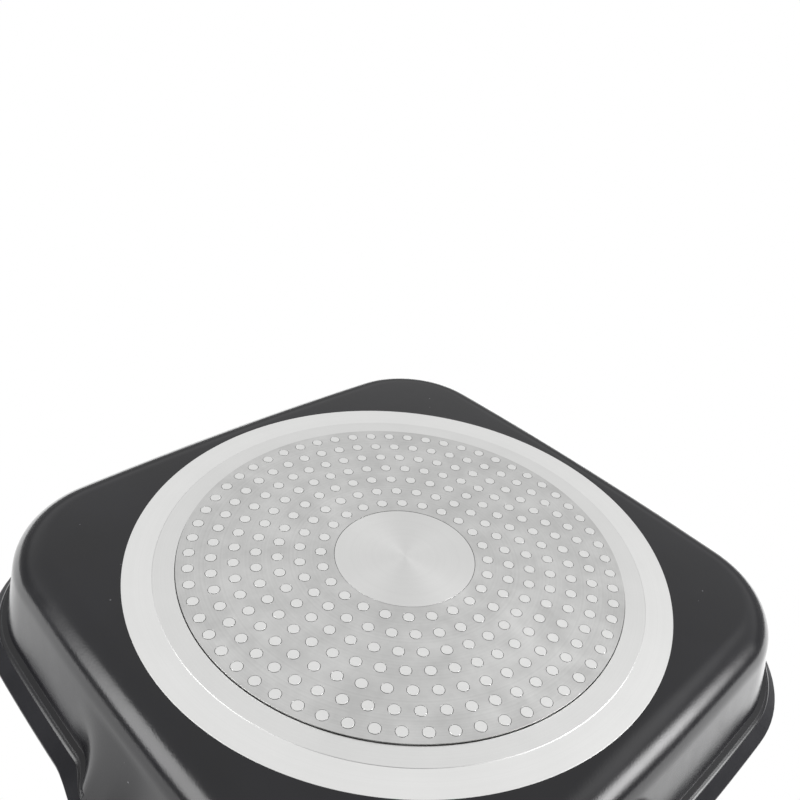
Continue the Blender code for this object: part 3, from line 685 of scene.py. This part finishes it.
def buildPlate(steel):
    # flat sheet with round holes: its face is triangulated between the edges, and every edge is rolled
    # over by a small chamfer and carried up to the back
    centres = holePlaces()
    inner, outer = foot["disc"] + foot["discGap"], foot["inner"] - plate["gap"]
    edge, low, thick = plate["edge"], plate["face"], plate["thickness"]

    def loop(radius, sides, centre=(0, 0)):
        turn = fullTurn(sides)
        return np.stack([centre[0] + radius * np.cos(turn), centre[1] + radius * np.sin(turn)], 1)

    def rims(grow):
        # every edge of the sheet, moved into the metal by grow
        edges = [loop(outer - grow, plate["outerSides"]), loop(inner + grow, plate["innerSides"])]
        return edges + [loop(plate["hole"] / 2 + grow, plate["holeSides"], centre) for centre in centres]

    face = rims(edge)
    spots, triangles = triangulate(face, 1e-8)
    middle = spots[triangles].mean(1)
    reach = np.hypot(*middle.T)
    keep = (reach < outer - edge) & (reach > inner + edge)
    near = ((middle[:, None] - centres[None]) ** 2).sum(-1).min(1)
    keep &= near > (plate["hole"] / 2 + edge) ** 2 * 0.99
    count = len(spots)
    points = [np.column_stack([spots, np.full(count, height)]) for height in (low, thick)]
    faces = triangles[keep].tolist() + (count + triangles[keep][:, ::-1]).tolist()
    start = 2 * count
    for face0, face1 in zip(face, rims(0.0)):
        sides = len(face0)
        levels = ((face0, low), (face1, low + edge), (face1, thick - edge), (face0, thick))
        points.append(np.vstack([np.column_stack([spot, np.full(sides, height)]) for spot, height in levels]))
        faces += gridFaces(4, sides, True, start).tolist()
        start += 4 * sides
    piece = addPiece("inductionPlate", np.vstack(points), faces, [steel], 30)
    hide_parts("induction_plate")
    print("induction plate:", len(centres), "holes,", len(piece.data.polygons), "faces")


# Handle

def buildGuard(steel):
    # drawn sleeve: an oval tube with its ends rolled inwards and its side swelled by a shallow half wave
    y, z = superOval(128)
    y, z = y * handle["width"] / 2, z * handle["depth"] / 2
    ny, nz = ovalNormals(y, z, handle["width"], handle["depth"])
    start = handle["boss"] + handle["gap"]
    end, wall, roll = start + handle["guard"], handle["guardWall"], handle["guardRoll"]
    turn = np.linspace(0, math.pi / 2, 6)
    path = [(start + roll * (1 - math.sin(a)), roll * (1 - math.cos(a))) for a in turn[::-1]]
    path += [(start + share * handle["guard"], -handle["guardSwell"] * math.sin(math.pi * share))
             for share in (0.2, 0.35, 0.5, 0.65, 0.8)]
    path += [(end - roll * (1 - math.sin(a)), roll * (1 - math.cos(a))) for a in turn]
    path += [(end, wall), (start, wall)]
    rows = [alongHandle(distance, y - ny * inset, z - nz * inset) for distance, inset in path + path[:1]]
    piece = addPiece("flameGuard", np.array(rows), gridFaces(len(rows), len(y)), [steel], 40)
    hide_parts("flame_guard")


def gripSize(distance):
    # width and depth of the grip: smooth steps between the front, the waist, the belly and the tail
    belly = handle["grip"] - handle["bellyFromEnd"]
    at = np.array([0.0, handle["waistAt"], belly, handle["grip"]])
    widths = np.array([handle["width"], handle["waistWidth"], handle["bellyWidth"], handle["tailWidth"]])
    depths = np.array([handle["depth"], handle["waistDepth"], handle["bellyDepth"], handle["tailDepth"]])
    part = np.clip(np.searchsorted(at, distance, side="left") - 1, 0, 2)
    share = np.clip((distance - at[part]) / (at[part + 1] - at[part]), 0, 1)
    share = share ** 2 * (3 - 2 * share)
    width, depth = [v[part] + (v[part + 1] - v[part]) * share for v in (widths, depths)]
    past = np.clip((distance - handle["grip"] + handle["tailRound"]) / handle["tailRound"], 0, 1)
    left = np.maximum(1 - past ** 2, 0)
    return width * left ** handle["tailPlan"], depth * left ** handle["tailProfile"]


def buildGrip(phenolic):
    # moulded grip: ovals carried along the axis, with a rounded collar behind the sleeve
    y, z = superOval(128)
    body = np.linspace(handle["gripFrom"], handle["grip"] - handle["tailRound"], 70)
    # the tail's rows crowd towards its end, and stop just short of it
    angles = np.radians(np.linspace(6, 88.5, 26))
    places = np.concatenate([body, handle["grip"] - handle["tailRound"] * (1 - np.sin(angles))])
    width, depth = gripSize(places)
    start = handle["gripStart"]
    rows = [alongHandle(start + place, y * w / 2, z * d / 2) for place, w, d in zip(places, width, depth)]
    inset = handle["guardWall"] + handle["gap"]
    collar = []
    for distance, shrink in ((-handle["tongue"], inset), (0.0, inset), *handle["collar"]):
        side, up = y * (handle["width"] / 2 - shrink), z * (handle["depth"] / 2 - shrink)
        collar.append(alongHandle(start + distance, side, up))
    points = np.array(collar + rows)
    grip = addPiece("handleGrip", points, closedSkin(points), [phenolic], 40)
    cutEye(grip)
    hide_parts("handle_grip")
    print("grip:", len(grip.data.polygons), "faces")


def cutEye(grip):
    # hanging eye: a slot with round ends whose edges flare out by an arc, and the screw's bore in its wall
    end = handle["gripStart"] + handle["grip"] - handle["eyeWeb"]
    length, radius = handle["eyeLength"], handle["eyeWidth"] / 2
    turn = fullTurn(64)
    middle = np.where(np.cos(turn) > 0, end - radius, end - length + radius)
    place = handle["grip"] - handle["eyeWeb"] - length / 2
    half = float(gripSize(np.array([place]))[1][0]) / 2
    lip, (above, beyond) = handle["eyeRound"], handle["eyePast"]
    arc = np.radians(np.linspace(0, handle["eyeArc"], 9))
    out = lip * (1 - np.cos(arc))
    up = np.concatenate([[0.0], half - lip + lip * np.sin(arc), [half + above]])
    grow = radius + np.concatenate([[0.0], out, [out[-1] + beyond]])
    up, grow = np.concatenate([-up[:0:-1], up]), np.concatenate([grow[:0:-1], grow])
    rows = [alongHandle(middle + g * np.cos(turn), g * np.sin(turn), u) for u, g in zip(up, grow)]
    makeCut(grip, np.array(rows))
    side, level = handle["bore"] / 2 * np.cos(fullTurn(48)), handle["bore"] / 2 * np.sin(fullTurn(48))
    ends = (handle["gripStart"] + handle["boreFrom"], end - length + radius)
    makeCut(grip, np.array([alongHandle(distance, side, level) for distance in ends]))


def makeCut(piece, rows):
    # subtract the closed skin through rows, then forget the cutter
    cutter = addMesh("cutter", rows, closedSkin(rows))
    tidyMesh(cutter.data)
    step = piece.modifiers.new("cut", "BOOLEAN")
    step.operation, step.solver, step.object = "DIFFERENCE", "EXACT", cutter
    bpy.context.view_layer.update()
    made = bpy.data.meshes.new_from_object(piece.evaluated_get(bpy.context.evaluated_depsgraph_get()))
    piece.modifiers.clear()
    piece.data = made
    made.shade_smooth()
    made.set_sharp_from_angle(angle=math.radians(40))
    bpy.data.objects.remove(cutter)


# Studio

studio = dict(
    floorSize=6.0, floorDrop=0.3 * mm, floorColour="#f1f1ef", surround=0.86, backdrop=1.0, horizon=0.35,
    lensShade=0.12, lensCone=(0.8, 0.93), horizonBelow=(-0.36, -0.2), horizonAbove=(0.32, 0.5),
    # the table's glow is painted light, with painted shade near the pan and a painted shadow strip at the rim
    tableHeight=47.4 * mm, tableTurn=math.radians(-41), tableGap=0.5 * mm, tablePaintedShadow=5 * mm,
    tableReach=(0.38, 0.315), tableSides=(-0.15, 0.15), tableRings=(0.165, 0.33), tablePaintedShadeNear=(1.15, 1.72),
    tableFar=2.2, aim=(0, 0, 0.02),
)
sheetCorners = ((-1, -1), (1, -1), (1, 1), (-1, 1))
# azimuth and elevation in degrees, distance, width, height, radiance of the middle, and how much of the
# box fades out towards its edges
softBoxes = dict(
    leftBox=(108, -19, 0.9, 0.92, 0.5, 6.4, 0.55, 0.25),
    rightBox=(-26, -20, 0.9, 0.88, 0.5, 12.5, 0.6, 0.85),
    lowBox=(-58, -46, 1.0, 0.9, 0.5, 1.0, 0.8, 0.8),
    topBox=(300, 82, 1.2, 0.5, 0.5, 4.0, 0.2, 0.2),
)


def addSoftBox(name, azimuth, elevation, distance, width, height, radiance, sideFade, endFade):
    # rectangular light aimed at the pan; its power is radiance times area times pi
    data = bpy.data.lights.new(name, "AREA")
    data.shape, data.size, data.size_y = "RECTANGLE", width, height
    data.energy = radiance * width * height * math.pi
    data.use_nodes = True
    tree = data.node_tree
    spot = addNode(tree, "NewGeometry", output="Parametric")
    shares = []
    for axis, fade in ((0, sideFade), (1, endFade)):
        # 0 along the box's middle and 1 at its edge
        out = addNode(tree, "SeparateXYZ", [spot], axis)
        out = addNode(tree, "Math", [out, 2.0, -1.0], operation="MULTIPLY_ADD")
        out = addNode(tree, "Math", [out], operation="ABSOLUTE")
        inputs = [out, 1 - fade, 1.0, 1.0, 0.0]
        shares.append(addNode(tree, "MapRange", inputs, interpolation_type="SMOOTHSTEP"))
    feed(tree.nodes["Emission"], {"Strength": addNode(tree, "Math", shares, operation="MULTIPLY")})
    light = addObject(name, data)
    a, e = math.radians(azimuth), math.radians(elevation)
    aim = Vector((math.cos(e) * math.cos(a), math.cos(e) * math.sin(a), math.sin(e)))
    light.location = Vector(studio["aim"]) + aim * distance
    light.rotation_euler = aim.to_track_quat("Z", "Y").to_euler()
    light.visible_camera = False


def clearBack(tree, surface):
    # only the face's front is there, and its back is clear
    back = addNode(tree, "NewGeometry", output="Backfacing")
    mixed = addNode(tree, "MixShader", [back, surface, addNode(tree, "BsdfTransparent")])
    feed(tree.nodes["Material Output"], {"Surface": mixed})


def addSheet(name, flat, height, faces, material, unseenBy):
    # level sheet through flat points, which some kinds of ray don't meet
    sheet = addMesh(name, np.column_stack([flat, np.full(len(flat), height)]), faces)
    sheet.data.materials.append(material)
    for ray in unseenBy:
        setattr(sheet, "visible_" + ray, False)
    return sheet


def buildFloor():
    # pale floor under the pan. The camera of the photograph looks up from below it, so its underside is
    # clear, and it takes no part in the light that reaches the pan
    material, tree, shader, _ = newMaterial("paleFloor")
    feed(shader, {"Base Color": studio["floorColour"], "Roughness": 0.6})
    clearBack(tree, shader.outputs[0])
    corners = np.array(sheetCorners) * studio["floorSize"] / 2
    unseenBy = ("diffuse", "glossy", "transmission", "shadow")
    floor = addSheet("floor", corners, -studio["floorDrop"], [(0, 1, 2, 3)], material, unseenBy)


def buildTable():
    # glowing sheet that stands in for the white table the pan lies on upside down, as the pan's wall mirrors
    # it: its glow is painted light. Only mirrored rays see it, and only from the base's side, so the pan can
    # still be lit and seen from above
    material, tree, shader, place = newMaterial("paintedTableGlow")
    tree.nodes.remove(shader)
    # painted shade: the glow is darker near the pan, most of all on the left
    far = addNode(tree, "MapRange", [radiusAndSpoke(tree, place)[0], *studio["tableRings"]])
    across = (math.cos(studio["tableTurn"]), math.sin(studio["tableTurn"]), 0.0)
    right = addNode(tree, "VectorMath", [place, across], "Value", operation="DOT_PRODUCT")
    near = addNode(tree, "MapRange", [right, *studio["tableSides"], *studio["tablePaintedShadeNear"]])
    gain = addNode(tree, "Math", [studio["tableFar"], near], operation="SUBTRACT")
    glow = addNode(tree, "Math", [far, gain, near], operation="MULTIPLY_ADD")
    # painted shadow: a share that is 0 on the loop at the rim and 1 from the next loop out
    lit = addNode(tree, "Attribute", output="Fac", attribute_name="lit")
    glow = addNode(tree, "Math", [glow, lit], operation="MULTIPLY")
    clearBack(tree, addNode(tree, "Emission", {"Strength": glow}))
    # painted shadow: the glow falls to black in a strip at the rim, where the pan's own shadow would lie
    reaches = pan["lipEdge"] + studio["tableGap"], pan["lipEdge"] + studio["tablePaintedShadow"]
    hole, shade = [np.stack(outlineAt(reach), -1)[0] for reach in reaches]
    flat, triangles = bandBetween(np.array(sheetCorners) * studio["tableReach"], shade)
    points = np.vstack([flat, shade, hole])
    faces = triangles.tolist() + gridFaces(2, len(hole), True, len(flat)).tolist()
    unseenBy = ("camera", "diffuse", "transmission", "shadow")
    table = addSheet("table", points, studio["tableHeight"], faces, material, unseenBy)
    for face in table.data.polygons:
        if face.normal.z > 0:
            face.flip()
    # the painted shadow's share: 0 on the loop at the rim, 1 elsewhere
    lit = np.ones(len(points))
    lit[-len(hole):] = 0
    table.data.attributes.new("lit", "FLOAT", "POINT").data.foreach_set("value", lit)


def buildWorld():
    # white to the eye. As light it is an even surround, dark along the horizon and round the camera
    world = bpy.data.worlds.new("studio")
    bpy.context.scene.world = world
    world.use_nodes = True
    tree = world.node_tree
    tree.nodes.clear()
    eye = addNode(tree, "LightPath", output="Is Camera Ray")
    direction = addNode(tree, "TexCoord", output="Generated")
    height = addNode(tree, "SeparateXYZ", [direction], 2)
    even, dark = studio["surround"], studio["horizon"]
    below = addNode(tree, "MapRange", [height, *studio["horizonBelow"], even, dark])
    above = addNode(tree, "MapRange", [height, *studio["horizonAbove"], 0.0, even - dark])
    band = addNode(tree, "Math", [below, above], operation="ADD")
    lens = Vector(view["place"]).normalized()
    toLens = addNode(tree, "VectorMath", [direction, lens], "Value", operation="DOT_PRODUCT")
    shade = addNode(tree, "MapRange", [toLens, *studio["lensCone"], 1.0, studio["lensShade"]])
    strength = addNode(tree, "Math", [band, shade], operation="MULTIPLY")
    soft = addNode(tree, "Background", {"Color": "#ffffff", "Strength": strength})
    white = addNode(tree, "Background", {"Color": "#ffffff", "Strength": studio["backdrop"]})
    feed(tree.nodes.new("ShaderNodeOutputWorld"), [addNode(tree, "MixShader", [eye, soft, white])])


# the photograph's camera: below the pan, looking up at its base; its place and axes were worked out from
# the holes, the foot's circle and the outlines of the base and the rim
view = dict(
    place=(0.16895, 0.18966, -0.22803), right=(0.68842, -0.7155, -0.1189), up=(-0.50891, -0.35969, -0.78207),
    back=(0.51681, 0.5989, -0.61174), lens=37.636, shiftX=-0.03024, shiftY=0.1203,
)


def buildCamera():
    # lens in millimetres on a 36 mm sensor, and the frame's shift off the axis
    data = bpy.data.cameras.new("camera")
    data.lens, data.sensor_width = view["lens"], 36.0
    data.shift_x, data.shift_y = view["shiftX"], view["shiftY"]
    data.clip_start = 0.01
    camera = addObject("camera", data)
    axes = Matrix((view["right"], view["up"], view["back"])).transposed()
    camera.matrix_world = Matrix.Translation(view["place"]) @ axes.to_4x4()
    bpy.context.scene.camera = camera


# Build

bpy.context.scene.view_settings.view_transform = "Standard"
buildCamera()
buildWorld()
buildFloor()
buildTable()
for name, box in softBoxes.items():
    addSoftBox(name, *box)
print("studio ready")

# two colours, least and most roughness, specular level
coating = makeCoating("sprayedNonStickCoating", "#0e0e11", "#131317", 0.14, 0.19, 0.5)
# painted shade: a copy of the coating for the lip's outside that hardly mirrors, so the lip stays dark as
# though it mirrored only shade; its paler colour is painted sheen in place of the reflection it loses
lipShadeCoating = makeCoating("lipPaintedShadeCoating", "#1c1c1f", "#27272a", 0.5, 0.6, 0.05)
buildPanBody(coating, lipShadeCoating)

# distance between the tool's rings, roughness, anisotropy, two colours
innerLand = makeTurnedAluminium("turnedInnerAluminium", 0.5 * mm, 0.36, 0.2, "#e9e9e8", "#e1e1e0")
outerLand = makeTurnedAluminium("turnedOuterAluminium", 0.5 * mm, 0.36, 0.15, "#f1f1f0", "#ebebea")
discMetal = makeTurnedAluminium("turnedDiscAluminium", 0.35 * mm, 0.38, 0.62, "#e6e6e5", "#dfdfde")
dotMetal = makeTurnedAluminium("turnedDotAluminium", 0.5 * mm, 0.36, 0.3, "#f0f0ef", "#e8e8e7")
buildFootRing(innerLand, outerLand)
buildDisc(discMetal)
buildDots(dotMetal)
buildPlate(makePerforatedSteel())
print("base ready")

buildGuard(makeBrushedSteel())
buildGrip(makePhenolic())
zinc = makeFastenerSteel("platedZincSteel", 0.35, 2 * mm, "#b9bcc0", "#cfd1d4")
springSteel = makeFastenerSteel("oiledSpringSteel", 0.38, 1.5 * mm, "#6a6a6c", "#88888a")
for node, finish in (("handle_screw", zinc), ("lock_washer", springSteel)):
    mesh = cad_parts[node].data
    mesh.materials.clear()
    mesh.materials.append(finish)
print("handle ready")
